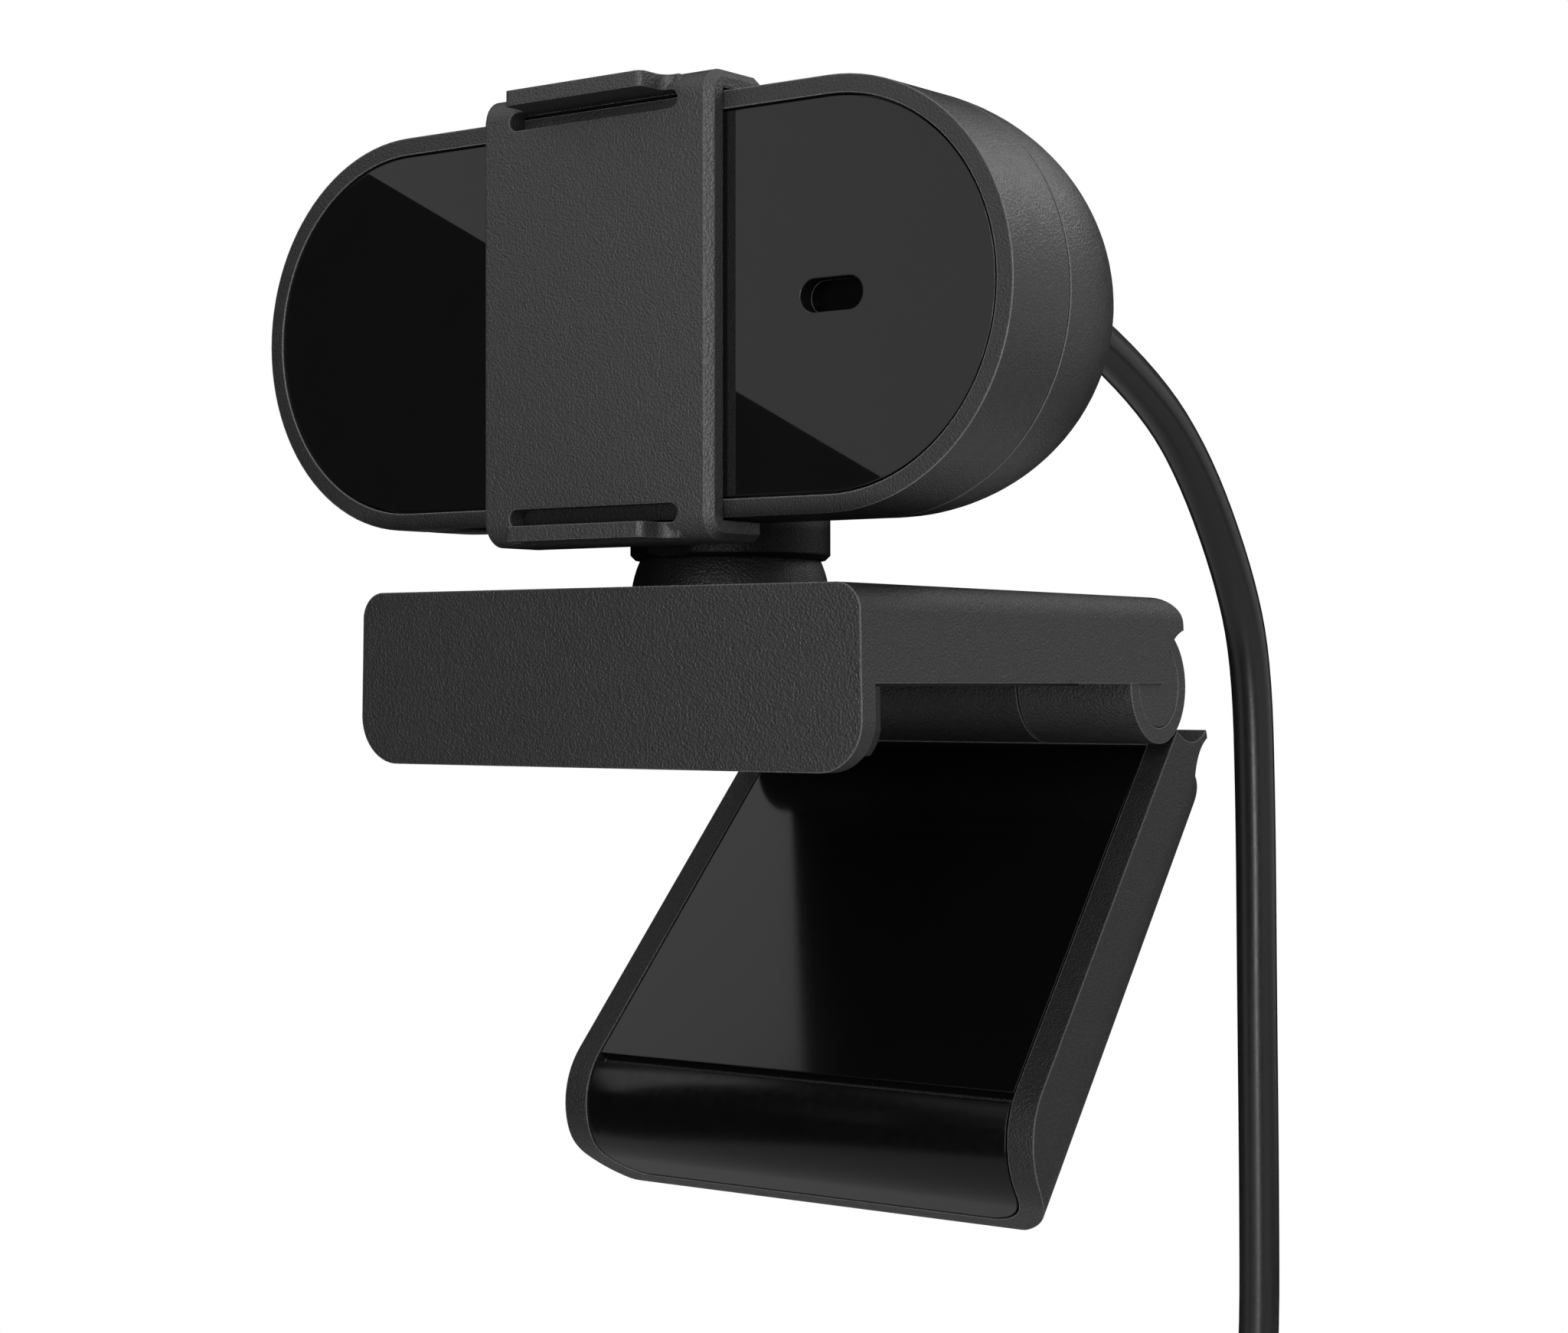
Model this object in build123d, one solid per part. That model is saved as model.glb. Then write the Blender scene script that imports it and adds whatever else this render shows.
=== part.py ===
from build123d import *
import math
import os

# Clip-on webcam: a pill-shaped camera head on a swivelling neck, over a clip whose
# lip and hinged leg grip the top edge of a screen. Millimetres, +Z up, the viewer
# looks along +Y. The origin is on the swivel axis, on the face of the resting pad.

# Clip
CLIP_WIDTH = 51.5           # across the sides at the front face
CLIP_LENGTH = 52.57
CLIP_TOP = 7.8              # top face above the resting pad
CLIP_UNDER = 0.24           # underside above the resting pad
SWIVEL_SETBACK = 17.24      # swivel axis behind the front face
SIDE_TAPER = 2.75           # degrees that each side closes in towards the back
SIDE_DRAFT = 1.1            # degrees that each side leans in towards the top
TOP_EDGE_ROUND = 2.2
REAR_EDGE_ROUND = 2.75
LIP_DROP = 6.46
LIP_THICK = 1.85
LIP_CORNER = 4.0
LIP_PAD_THICK = 0.83
LIP_PAD_INSET = 0.1         # lip's pad inside the lip's sides
LIP_PAD_EDGE = 1.28         # lip left below its pad
PAD_SINK = 0.5              # depth of the resting pad's pocket
PAD_CORNER = 1.5
REST_PAD_SIDE = 2.2         # closing plate left beside the resting pad
REST_PAD_REAR = 1.5         # clip left between the resting pad and the hinge
PLATE_THICK = 1.5           # plate that closes the swivel's seat from below
PLATE_SIDE = 3.55           # clip left beside the plate
PLATE_LAND = 1.6            # plate beyond the swivel's retainer
PLATE_CENTRE = 1.0          # middle of the plate behind the swivel axis
PLATE_CORNER = 2.0
PLATE_SCREW_INSET = 5.2     # plate's screws inside its edges
PLATE_SCREW_HEAD = 0.5
PLATE_GAP = 0.12            # assembly gap round fixed plates and panels

# Hinge
HINGE_FROM_REAR = 4.57      # hinge axis ahead of the rear face
HINGE_DROP = 0.17           # hinge axis below the clip's underside
BARREL_R = 5.1
KNUCKLE_HALF = 12.0         # half width of the gap between the clip's two knuckles
KNUCKLE_END_GAP = 0.2
KNUCKLE_INSET = 0.2         # barrel's ends inside the clip's sides
BARREL_CLEARANCE = 0.4
PIN_R = 1.5
PIN_RUNNING_GAP = 0.04
CAP_R = 3.6
CAP_THICK = 1.5
CAP_SUNK = 0.05             # cap's face inside the barrel's end
BUSH_WALL = 1.0
BUSH_LENGTH = 8.0
BUSH_FROM_END = 1.0
NOTCH_R = 4.76
NOTCH_BEHIND = 0.99         # centre of the rear notch behind the rear face

# Leg, drawn down its length from the hinge axis and back from its front face
LEG_LEAN = 41.1             # degrees from upright, foot forward
LEG_FACE_GAP = 0.45         # front face behind the barrel
LEG_LENGTH = 45.8           # hinge axis to the sole of the foot
LEG_TOP = 0.47              # top edge of the front face below the hinge axis
LEG_SIDE_INSET = 0.54       # leg's sides inside the clip's at the hinge
LEG_THICK = 11.05
LEG_BACK_ROUND = 6.9        # rounding of the two long back edges
FOOT_ROUND = 6.9
SOLE_EDGE = 0.8
SCOOP_LOW = (0.8, 2.49)     # lowest point of the scoop: above the top edge, and back
SCOOP_TIP = (3.59, 4.12)    # rear tip of the scoop, measured the same way
TIP_BACK = (3.19, 4.77)     # back of that tip
NECK_BACK = (0.4, 4.5)      # hollow of the back below the tip
NECK_END = (-0.95, 5.1)     # where that hollow meets the shoulder
WEB_HIGH = 0.5              # web of the middle knuckle above the hinge axis
WEB_LAP = 0.5               # web's lap into the leg
WEB_FOOT = (3.1, -1.6)      # lower front corner of the web
LEG_RIM = 2.5
FOOT_RIM = 1.75             # rim left behind the foot's pad
PANEL_TOP = 2.1
PANEL_THICK = 1.2
PANEL_SUNK = 0.05
PANEL_GAP = 0.2             # gap round the gloss panel and the foot's pad
GROOVE_WIDTH = 0.9
GROOVE_AT = 39.6            # middle of the groove below the hinge axis

# Neck
BALL_R = 8.3
BALL_SUNK = 0.83            # ball's centre below the clip's top face
BALL_GAP = 0.3
COLLAR_OVER = 0.05          # collar's radius beyond the ball's
COLLAR_LIFT = 2.67          # collar above the clip's top face
COLLAR_EDGE = 0.4
DOME_WALL = 2.0
FLANGE_RIM = 1.7            # swivel's flange beyond the ball
FLANGE_THICK = 0.9
FLANGE_GAP = 0.1
TOP_WALL = 1.9              # clip wall above the swivel's flange
WASHER_THICK = 0.35
WASHER_INSET = 0.3          # washer inside the flange's edge
WASHER_WIDE = 1.7
RETAINER_RIM = 3.6          # retainer beyond the flange
RETAINER_THICK = 1.3
RETAINER_SCREWS = 3
SCREW_COVER = 1.0           # clip left above a screw's tip
SCREW_R = 0.8
SCREW_HEAD_R = 1.6
SCREW_HEAD = 0.9
STUD_R = 1.5
STUD_HEAD_R = 2.6
STUD_HEAD = 1.6
STUD_SLACK = 0.5            # spare room for the stud at the ends of the tilt slot
STUD_SIDE_GAP = 0.4
STUD_END = 0.5              # stud beyond its nut
BALL_WASHER_DROP = 2.7      # its underside below the top of the dome's bore
SPRING_HIGH = 1.0
SPRING_WALL = 1.2
SPRING_R = 4.2
NUT_R = 3.15
NUT_HIGH = 2.4
TILT_BACK = 15.0            # degrees the head looks up
SOCKET_TOP_WALL = 2.7

# Head
HEAD_WIDTH = 76.3
HEAD_HEIGHT = 32.8
HEAD_LIFT = 5.19            # head's underside above the clip's top face
HEAD_SETBACK = 1.3          # front rim behind the clip's front face
SEAM_SETBACK = 9.2          # joint between the two housing halves
DOME_DEPTH = 19.3
HEAD_WALL = 1.8
RIM_WIDTH = 1.4
FACE_THICK = 1.4
FACE_SUNK = 0.12
FACE_GAP = 0.2
WEB_THICK = 1.4
SEAM_LIP = 2.2
SEAM_LIP_WALL = 1.0
SEAM_LIP_GAP = 0.2
SEAM_GROOVE = 0.25          # shadow line round the seam, as deep as it is wide
HOLLOW_ANGLES = (35.0, 60.0, 80.0)  # degrees round the dome's inner wall where the hollow's slope changes
LENS_HOLE_R = 6.3
LENS_LEDGE = 0.8            # web left under the rim of the lens window
WINDOW_SUNK = 0.1
WINDOW_FIT = 0.05
LENS_BARREL_R = 4.6
LENS_BARREL_LENGTH = 5.2
LENS_BARREL_OUT = 1.6       # barrel ahead of its holder
LENS_BARREL_FIT = 0.02
LENS_SEAT_WALL = 1.3
LENS_SEAT_DEPTH = 1.0
LENS_BORE_WALL = 2.2
GLASS_FIT = 0.05
GLASS_THICK = 1.45
GLASS_BULGE = 0.85
HOLDER_SIDE = 13.0
HOLDER_DEPTH = 4.2
HOLDER_CORNER = 1.5
SENSOR = (6.0, 5.0, 0.5)
SLOT_X = 21.95
SLOT_LENGTH = 5.8
SLOT_HEIGHT = 2.55
SLOT_FIT = 0.05
PIPE_FLANGE = 0.6
PIPE_FLANGE_THICK = 0.8
PIPE_STEM = (3.4, 1.6)
PIPE_LED_GAP = 0.1
LED = (1.6, 0.8, 0.8)
MICROPHONE = (3.0, 2.2, 1.0)
MICROPHONE_X = 13.0
CONNECTOR = (8.0, 4.0, 3.5)
CONNECTOR_X = -9.0
CONNECTOR_RISE = 3.0
BOARD_SETBACK = 11.4        # front of the circuit board behind the rim
BOARD_END = 8.15            # head left beyond the board's ends
BOARD_EDGE = 7.9            # head left above and below the board
BOARD_THICK = 1.2
BOARD_CORNER = 2.0
POST_R = 2.0
POST_INSET = (4.0, 3.0)     # posts inside the board's ends and edges
POST_SCREW_GAP = 0.5
GROMMET_RISE = 12.0         # degrees the cable leaves above level
GROMMET_LENGTH = 13.0
GROMMET_BASE_R = 4.4
GROMMET_BASE_THICK = 1.2
GROMMET_RIBS = 4
GROMMET_RIB_STEP = 2.5
GROMMET_RIB_DEEP = 0.6
GROMMET_RIB_GAP = 0.8
GROMMET_TIP_WALL = 0.7      # round the cord at the last rib
GROMMET_END_WALL = 0.5      # round the cord at the grommet's end
GROMMET_NECK_R = 3.0
GROMMET_FIT = 0.05
GROMMET_SEAT_GAP = 0.03
GROMMET_INNER = 1.0         # inner flange, as wide as it is thick

# Privacy cover
COVER_WIDTH = 23.7
COVER_GAP = 0.15            # between the cover's back and the head's rim
COVER_PLATE = 1.65
COVER_REACH = 6.3           # front face to the arms' ends
COVER_ARM_GAP = 0.25
COVER_ARM = 1.5
COVER_BEND = 2.0
COVER_CHAMFER = 0.6
FINGER_WIDTH = 14.2         # finger flanges
FINGER_OUT = 2.5
FINGER_DEEP = 1.2
FINGER_DROP = 0.25          # flanges inside the arms' outer faces
FINGER_CORNER = 0.6
FINGER_ROOT = 1.0           # rounding where a flange meets the plate
FINGER_SUNK = 0.4           # root behind the plate's face
FINGER_SLOT_LENGTH = 17.4
FINGER_SLOT_HIGH = 1.5
COVER_TRAVEL = 18.5
HOOK_LENGTH = 15.0
HOOK_WIDE = 0.9
HOOK_DEEP = 0.5
HOOK_GAP = 0.25
HOOK_FROM_END = 0.3         # hooks ahead of the arms' ends
HOOK_LAP = 0.2              # hooks' lap into the arms

# Cable
CORD_D = 4.3
CORD_SIDES = 6
CORD_LEAD = 9.6             # straight run out of the grommet
COIL_RADIUS = 25.15         # middle of the turns
TURN_GAP = 0.9              # between neighbouring turns of one layer
LAYER_GAP = 0.6
LAYER_QUARTERS = (7, 7, 7, 5)
CLIMB_QUARTERS = 2
TIE_ANGLE = 176.0           # where the tie is on the coil, seen from +X
TIE_WIDTH = 8.0
TIE_THICK = 1.0
TIE_CLEARANCE = 0.3
TIE_CORNER = 2.5
TAIL_DROP = 17.0
TAIL_OUT = 14.6
PLUG_BOOT = 11.0
PLUG_BOOT_R = 3.2
PLUG_BOOT_WALL = 0.4        # boot round the cord
PLUG_BODY = (16.4, 8.2, 25.0)
PLUG_BODY_CORNER = 3.0
PLUG_BODY_END = 1.0
PLUG_SHELL = (12.0, 4.5, 18.8)
PLUG_SHELL_CORNER = 0.6
PLUG_SHELL_WALL = 0.35
PLUG_SHELL_SEAT = 3.0       # shell's length inside the grip
PLUG_WINDOW = (2.3, 2.0)
PLUG_WINDOW_BACK = 6.0      # middle of the shell's windows behind its mouth
PLUG_TONGUE_GAP = 0.35      # tongue inside the shell's sides
PLUG_TONGUE_THICK = 1.9
PLUG_TONGUE_SHORT = 2.2     # tongue behind the shell's mouth
PLUG_CONTACTS = 4
PLUG_CONTACT = (1.1, 0.25, 11.0)
PLUG_CONTACT_STEP = 2.3
PLUG_CONTACT_START = 1.0    # contacts beyond the grip's end

# Free run of the cord, from its lead out of the grommet to the coil: each bend's x, y, z
CORD_BENDS = [
    (0.0, 51.6, 37.2),
    (0.0, 69.0, 30.2),
    (0.0, 78.5, 23.2),
    (0.0, 87.1, 12.0),
    (0.0, 91.2, 2.5),
    (0.0, 92.1, -13.7),
    (0.0, 92.4, -32.7),
    (0.0, 92.9, -53.7),
    (0.0, 93.0, -73.7),
    (-1.2, 92.0, -87.7),
    (-4.6, 87.5, -102.7),
    (-7.35, 79.5, -116.7),
]
CORD_END = (-7.35, 70.5, -127.4)

# Places worked out from the sizes above
FRONT = -SWIVEL_SETBACK
REAR = FRONT + CLIP_LENGTH
HINGE_Y = REAR - HINGE_FROM_REAR
NOTCH_Y = REAR + NOTCH_BEHIND
RIM_Y = FRONT + HEAD_SETBACK
SEAM_Y = FRONT + SEAM_SETBACK
COVER_Y = RIM_Y - COVER_GAP - COVER_PLATE
FACE_Y = RIM_Y + FACE_SUNK
WEB_Y = FACE_Y + FACE_THICK
WEB_BACK = WEB_Y + WEB_THICK
BOARD_Y = RIM_Y + BOARD_SETBACK
BOARD_WIDTH = HEAD_WIDTH - 2 * BOARD_END
BOARD_HEIGHT = HEAD_HEIGHT - 2 * BOARD_EDGE
HINGE_Z = CLIP_UNDER - HINGE_DROP
LIP_BACK = FRONT + LIP_THICK
LIP_PAD_BACK = LIP_BACK + LIP_PAD_THICK
PAD_FRONT = LIP_PAD_BACK + PLATE_GAP
PAD_REAR = HINGE_Y - BARREL_R - BARREL_CLEARANCE - REST_PAD_REAR
POCKET_TOP = CLIP_UNDER + PAD_SINK
PLATE_TOP = CLIP_UNDER + PLATE_THICK
SCREW_TIP = CLIP_TOP - SCREW_COVER
BORE_R = BALL_R - DOME_WALL
FLANGE_R = BALL_R + FLANGE_RIM
RETAINER_R = FLANGE_R + RETAINER_RIM
PLATE_WIDTH = CLIP_WIDTH - 2 * PLATE_SIDE
PLATE_LENGTH = 2 * (RETAINER_R + PLATE_LAND)
SEAT_TOP = CLIP_TOP - TOP_WALL
FLANGE_TOP = SEAT_TOP - FLANGE_GAP
FLANGE_UNDER = FLANGE_TOP - FLANGE_THICK
RETAINER_TOP = FLANGE_UNDER - WASHER_THICK - FLANGE_GAP
RETAINER_UNDER = RETAINER_TOP - RETAINER_THICK
BALL_Z = CLIP_TOP - BALL_SUNK
COLLAR_R = BALL_R + COLLAR_OVER
COLLAR_BOTTOM = CLIP_TOP + COLLAR_LIFT
SOCKET_TOP = BALL_Z + BALL_R + BALL_GAP + SOCKET_TOP_WALL
WASHER_UNDER = BALL_Z + BORE_R - BALL_WASHER_DROP
NUT_TOP = WASHER_UNDER - SPRING_HIGH
END_X = (HEAD_WIDTH - HEAD_HEIGHT) / 2
HEAD_R = HEAD_HEIGHT / 2
HEAD_Z = CLIP_TOP + HEAD_LIFT + HEAD_R
HEAD_TOP = HEAD_Z + HEAD_R
HEAD_BOTTOM = HEAD_Z - HEAD_R
ARM_TOP = HEAD_TOP + COVER_ARM_GAP + COVER_ARM
ARM_UNDER = HEAD_BOTTOM - COVER_ARM_GAP - COVER_ARM
WIDE = 100.0                # longer than anything it cuts
OVER = 1.0                  # how far a cut runs past the face it opens

SWIVEL_AXIS = Axis((0, 0, 0), (0, 0, 1))


def front_plane(y, z=0.0, x=0.0):
    """A plane facing the viewer at depth y: its x is right and its y is up."""
    return Plane(origin=(x, y, z), x_dir=(1, 0, 0), z_dir=(0, -1, 0))


def run_back(outline, y0, y1, z=0.0, x=0.0):
    """An outline drawn as the viewer sees it, pushed from depth y0 back to y1."""
    return extrude(front_plane(y0, z, x) * outline, amount=y1 - y0, dir=(0, 1, 0))


def across(outline, x0, x1):
    """An outline drawn in y and z, pushed from x0 to x1."""
    return extrude(Plane.YZ.offset(x0) * outline, amount=x1 - x0, dir=(1, 0, 0))


def stand(outline, z0, z1):
    """An outline drawn from above, pushed up from z0 to z1."""
    return extrude(Pos(0, 0, z0) * outline, amount=z1 - z0, dir=(0, 0, 1))


def rod(radius, start, end):
    """A round bar from one point to another."""
    line = Line(start, end)
    return extrude(Plane(origin=start, z_dir=line % 0) * Circle(radius), amount=line.length)


def upright(radius, z0, z1, x=0.0, y=0.0):
    """A round bar standing along Z."""
    return Pos(x, y, z0) * Cylinder(radius, z1 - z0, align=(Align.CENTER, Align.CENTER, Align.MIN))


def between(x, y, z):
    """A box from pairs of limits."""
    size = [pair[1] - pair[0] for pair in (x, y, z)]
    return Pos(x[0], y[0], z[0]) * Box(*size, align=(Align.MIN, Align.MIN, Align.MIN))


def save(node, *solids):
    """Write one node, of one solid or of several alike."""
    shape = solids[0] if len(solids) == 1 else Compound(children=list(solids))
    export_step(shape, "parts/" + node + ".step")


os.makedirs("parts", exist_ok=True)


# Clip body

def half_width(y):
    """Half the clip's width at depth y, at the level of the resting pad."""
    return CLIP_WIDTH / 2 - (y - FRONT) * math.tan(math.radians(SIDE_TAPER))


def side_walls(inset):
    """The space between the clip's tapering, drafted sides, less an inset."""
    front, rear = FRONT - BARREL_R, REAR + BARREL_R
    near, far = half_width(front) - inset, half_width(rear) - inset
    plan = Polygon((-near, front), (near, front), (far, rear), (-far, rear), align=None)
    above = extrude(plan, amount=WIDE / 4, taper=SIDE_DRAFT)
    below = extrude(plan, amount=-WIDE / 4, taper=-SIDE_DRAFT)
    return above + below


def hinge_rod(radius, x0, x1):
    """A round bar on the hinge axis."""
    return rod(radius, (x0, HINGE_Y, HINGE_Z), (x1, HINGE_Y, HINGE_Z))


def side_rounds(level, radius, up, y0, y1):
    """The waste outside a rounding of the two side edges of a level face."""
    middle = level - up * radius
    spare = -middle * math.tan(math.radians(SIDE_DRAFT)) - radius
    low, high = sorted((middle, level + up))
    wastes = []
    for end in (-1, 1):
        near, far = end * (half_width(y0) + spare), end * (half_width(y1) + spare)
        limit = end * WIDE / 2
        plan = Polygon((near, y0), (limit, y0), (limit, y1), (far, y1), align=None)
        wastes.append(stand(plan, low, high) - rod(radius, (near, y0, middle), (far, y1, middle)))
    return wastes


outline = Polygon(
    (FRONT, -LIP_DROP),
    (FRONT, CLIP_TOP),
    (REAR, CLIP_TOP),
    (REAR, CLIP_UNDER),
    (LIP_BACK, CLIP_UNDER),
    (LIP_BACK, -LIP_DROP),
    align=None,
)
outline = fillet(outline.vertices().group_by(Axis.Y)[-1].sort_by(Axis.X)[-1], REAR_EDGE_ROUND)
clip = across(outline, -WIDE / 2, WIDE / 2)
clip -= rod(NOTCH_R, (-WIDE / 2, NOTCH_Y, CLIP_UNDER), (WIDE / 2, NOTCH_Y, CLIP_UNDER))
clip &= side_walls(0)
for waste in side_rounds(CLIP_TOP, TOP_EDGE_ROUND, 1, FRONT - OVER, REAR + OVER):
    clip -= waste
lip_corners = side_rounds(-LIP_DROP, LIP_CORNER, -1, FRONT - OVER, LIP_PAD_BACK + OVER)
for waste in lip_corners:
    clip -= waste

# Hinge barrel, set in from the clip's sides, with a keyed cap over each end of the pin
barrel = hinge_rod(BARREL_R, -WIDE / 4, WIDE / 4) & side_walls(KNUCKLE_INSET)
PIN_END = half_width(HINGE_Y) - KNUCKLE_INSET - CAP_THICK
caps = []
for side in (-1, 1):
    barrel -= hinge_rod(CAP_R + PLATE_GAP, side * PIN_END, side * WIDE / 2)
    cap = hinge_rod(CAP_R, side * PIN_END, side * WIDE / 2) & side_walls(KNUCKLE_INSET + CAP_SUNK)
    caps.append((cap - clip).solid())
clip += barrel
clip -= hinge_rod(BARREL_R + BARREL_CLEARANCE, -KNUCKLE_HALF, KNUCKLE_HALF)
clip -= hinge_rod(PIN_R, -PIN_END, PIN_END)
save("hinge_caps", *caps)
save("hinge_pin", hinge_rod(PIN_R, -PIN_END, PIN_END))

# Swivel seat, its retainer, the plate that closes it and the resting pad's pocket
clip -= upright(BALL_R + BALL_GAP, SEAT_TOP - OVER, CLIP_TOP + OVER)
clip -= upright(FLANGE_R + BALL_GAP, PLATE_TOP, SEAT_TOP)
clip -= upright(RETAINER_R + PLATE_GAP, PLATE_TOP, RETAINER_TOP)
plate_outline = Pos(0, PLATE_CENTRE) * RectangleRounded(PLATE_WIDTH, PLATE_LENGTH, PLATE_CORNER)
pad_outline = Pos(0, (PAD_FRONT + PAD_REAR) / 2) * RectangleRounded(
    PLATE_WIDTH - 2 * REST_PAD_SIDE, PAD_REAR - PAD_FRONT, PAD_CORNER
)
pad_pocket = stand(offset(pad_outline, PLATE_GAP), CLIP_UNDER - OVER, POCKET_TOP)
clip -= stand(offset(plate_outline, PLATE_GAP), CLIP_UNDER - OVER, PLATE_TOP)
clip -= pad_pocket
screw_ring_r = (FLANGE_R + BALL_GAP + RETAINER_R) / 2
retainer_spots = [
    (screw_ring_r * math.cos(a), screw_ring_r * math.sin(a))
    for a in (math.radians(90 + 360 * k / RETAINER_SCREWS) for k in range(RETAINER_SCREWS))
]
for x, y in retainer_spots:
    clip -= upright(SCREW_R, RETAINER_TOP - OVER, SCREW_TIP, x, y)
plate_spots = [
    (sx * (PLATE_WIDTH / 2 - PLATE_SCREW_INSET), PLATE_CENTRE + sy * (PLATE_LENGTH / 2 - PLATE_SCREW_INSET))
    for sx in (-1, 1)
    for sy in (-1, 1)
]
for x, y in plate_spots:
    clip -= upright(SCREW_R, PLATE_TOP - OVER, SCREW_TIP, x, y)
save("clip_body", clip)

# Pads on the lip and under the clip, and the plate with its screws
lip_pad = between((-WIDE / 2, WIDE / 2), (LIP_BACK, LIP_PAD_BACK), (LIP_PAD_EDGE - LIP_DROP, 0))
lip_pad &= side_walls(LIP_PAD_INSET)
for waste in lip_corners:
    lip_pad -= waste
save("lip_pad", lip_pad)
save("rest_pad", stand(pad_outline, 0, POCKET_TOP))
plate = stand(plate_outline, CLIP_UNDER, PLATE_TOP) - pad_pocket
plate_screws = []
for x, y in plate_spots:
    plate -= upright(SCREW_R + PLATE_GAP, POCKET_TOP, PLATE_TOP, x, y)
    plate -= upright(SCREW_HEAD_R + PLATE_GAP, POCKET_TOP, POCKET_TOP + PLATE_SCREW_HEAD, x, y)
    head = upright(SCREW_HEAD_R, POCKET_TOP, POCKET_TOP + PLATE_SCREW_HEAD, x, y)
    plate_screws.append(head + upright(SCREW_R, POCKET_TOP + PLATE_SCREW_HEAD, SCREW_TIP, x, y))
save("clip_plate", plate)
save("plate_screws", *plate_screws)

# Swivel retainer, wave washer and screws
retainer = upright(RETAINER_R, RETAINER_UNDER, RETAINER_TOP)
retainer -= upright(BORE_R, RETAINER_UNDER, RETAINER_TOP)
retainer_screws = []
for x, y in retainer_spots:
    retainer -= upright(SCREW_R + PLATE_GAP, RETAINER_UNDER, RETAINER_TOP, x, y)
    head = upright(SCREW_HEAD_R, RETAINER_UNDER - SCREW_HEAD, RETAINER_UNDER, x, y)
    retainer_screws.append(head + upright(SCREW_R, RETAINER_UNDER, SCREW_TIP, x, y))
save("swivel_retainer", retainer)
save("retainer_screws", *retainer_screws)
washer = upright(FLANGE_R - WASHER_INSET, RETAINER_TOP, RETAINER_TOP + WASHER_THICK)
washer -= upright(FLANGE_R - WASHER_INSET - WASHER_WIDE, RETAINER_TOP, RETAINER_TOP + WASHER_THICK)
save("swivel_washer", washer)

# Swivel dome: a hollow ball cap with a flange below and a tilt slot on top
ball = Pos(0, 0, BALL_Z) * Sphere(BALL_R)
dome = ball & between((-WIDE, WIDE), (-WIDE, WIDE), (FLANGE_TOP, WIDE))
dome += upright(FLANGE_R, FLANGE_UNDER, FLANGE_TOP)
dome -= Pos(0, 0, BALL_Z) * Sphere(BORE_R)
dome -= upright(BORE_R, FLANGE_UNDER, BALL_Z)
slot_half = BALL_R * math.sin(math.radians(TILT_BACK)) + STUD_R + STUD_SLACK
slot = Rot(0, 0, 90) * SlotOverall(2 * slot_half, 2 * (STUD_R + STUD_SIDE_GAP))
dome -= stand(slot, BALL_Z, BALL_Z + BALL_R + OVER)
save("swivel_dome", dome)


# Leg

lean = math.radians(LEG_LEAN)
DOWN = Vector(0, -math.sin(lean), -math.cos(lean))
BACK = Vector(0, math.cos(lean), -math.sin(lean))
LEG_OFFSET = BARREL_R + LEG_FACE_GAP
LEG_ORIGIN = Vector(0, HINGE_Y, HINGE_Z) + BACK * LEG_OFFSET
LEG_SIDE = Plane(origin=LEG_ORIGIN, x_dir=DOWN, z_dir=(1, 0, 0))
LEG_FACE = Plane(origin=LEG_ORIGIN, x_dir=(1, 0, 0), z_dir=BACK)


def leg_half(down):
    """Half the leg's width at a distance down from the hinge axis."""
    top_half = half_width(HINGE_Y) - LEG_SIDE_INSET
    return top_half + (down - LEG_TOP) * math.tan(math.radians(SIDE_TAPER))


def leg_across(outline, half):
    """An outline drawn down the leg and back, pushed out to both sides."""
    return extrude(LEG_SIDE * outline, amount=half, both=True)


def leg_front(outline, back0, back1):
    """An outline drawn across and down the leg's face, pushed between two depths."""
    return extrude(LEG_FACE.offset(back0) * outline, amount=back1 - back0, dir=BACK)


def leg_plate(top, bottom, inset):
    """The leg's tapering front outline between two levels, inset at its sides."""
    wide_top, wide_bottom = leg_half(top) - inset, leg_half(bottom) - inset
    return Polygon(
        (-wide_top, top), (wide_top, top), (wide_bottom, bottom), (-wide_bottom, bottom), align=None
    )


def leg_bar(inset, back):
    """The leg's tapering bar, inset at its sides, with its two long back edges rounded."""
    bar = leg_front(leg_plate(-LEG_THICK, LEG_LENGTH + OVER, inset), -LEG_OFFSET, back)
    back_face = bar.faces().sort_by(lambda face: (face.center() - LEG_ORIGIN).dot(BACK))[-1]
    long_edges = [edge for edge in back_face.edges() if abs((edge % 0.5).X) < 0.5]
    return fillet(long_edges, LEG_BACK_ROUND - inset)


def on_foot(angle, radius=FOOT_ROUND):
    """A point of the foot's curve, by degrees round from the front face."""
    a = math.radians(angle)
    return (FOOT_START + radius * math.sin(a), FOOT_ROUND - radius * math.cos(a))


def foot_band(start, rise, sink):
    """A band of the foot's curve from an angle, and of its sole, between two levels about its surface."""
    outer, inner = FOOT_ROUND + rise, FOOT_ROUND - sink
    half_way = (start + 90) / 2
    return make_face(
        ThreePointArc(on_foot(start, outer), on_foot(half_way, outer), on_foot(90, outer))
        + Line(on_foot(90, outer), (LEG_LENGTH + rise, LEG_THICK))
        + Line((LEG_LENGTH + rise, LEG_THICK), (LEG_LENGTH - sink, LEG_THICK))
        + Line((LEG_LENGTH - sink, LEG_THICK), on_foot(90, inner))
        + ThreePointArc(on_foot(90, inner), on_foot(half_way, inner), on_foot(start, inner))
        + Line(on_foot(start, inner), on_foot(start, outer))
    )


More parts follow.
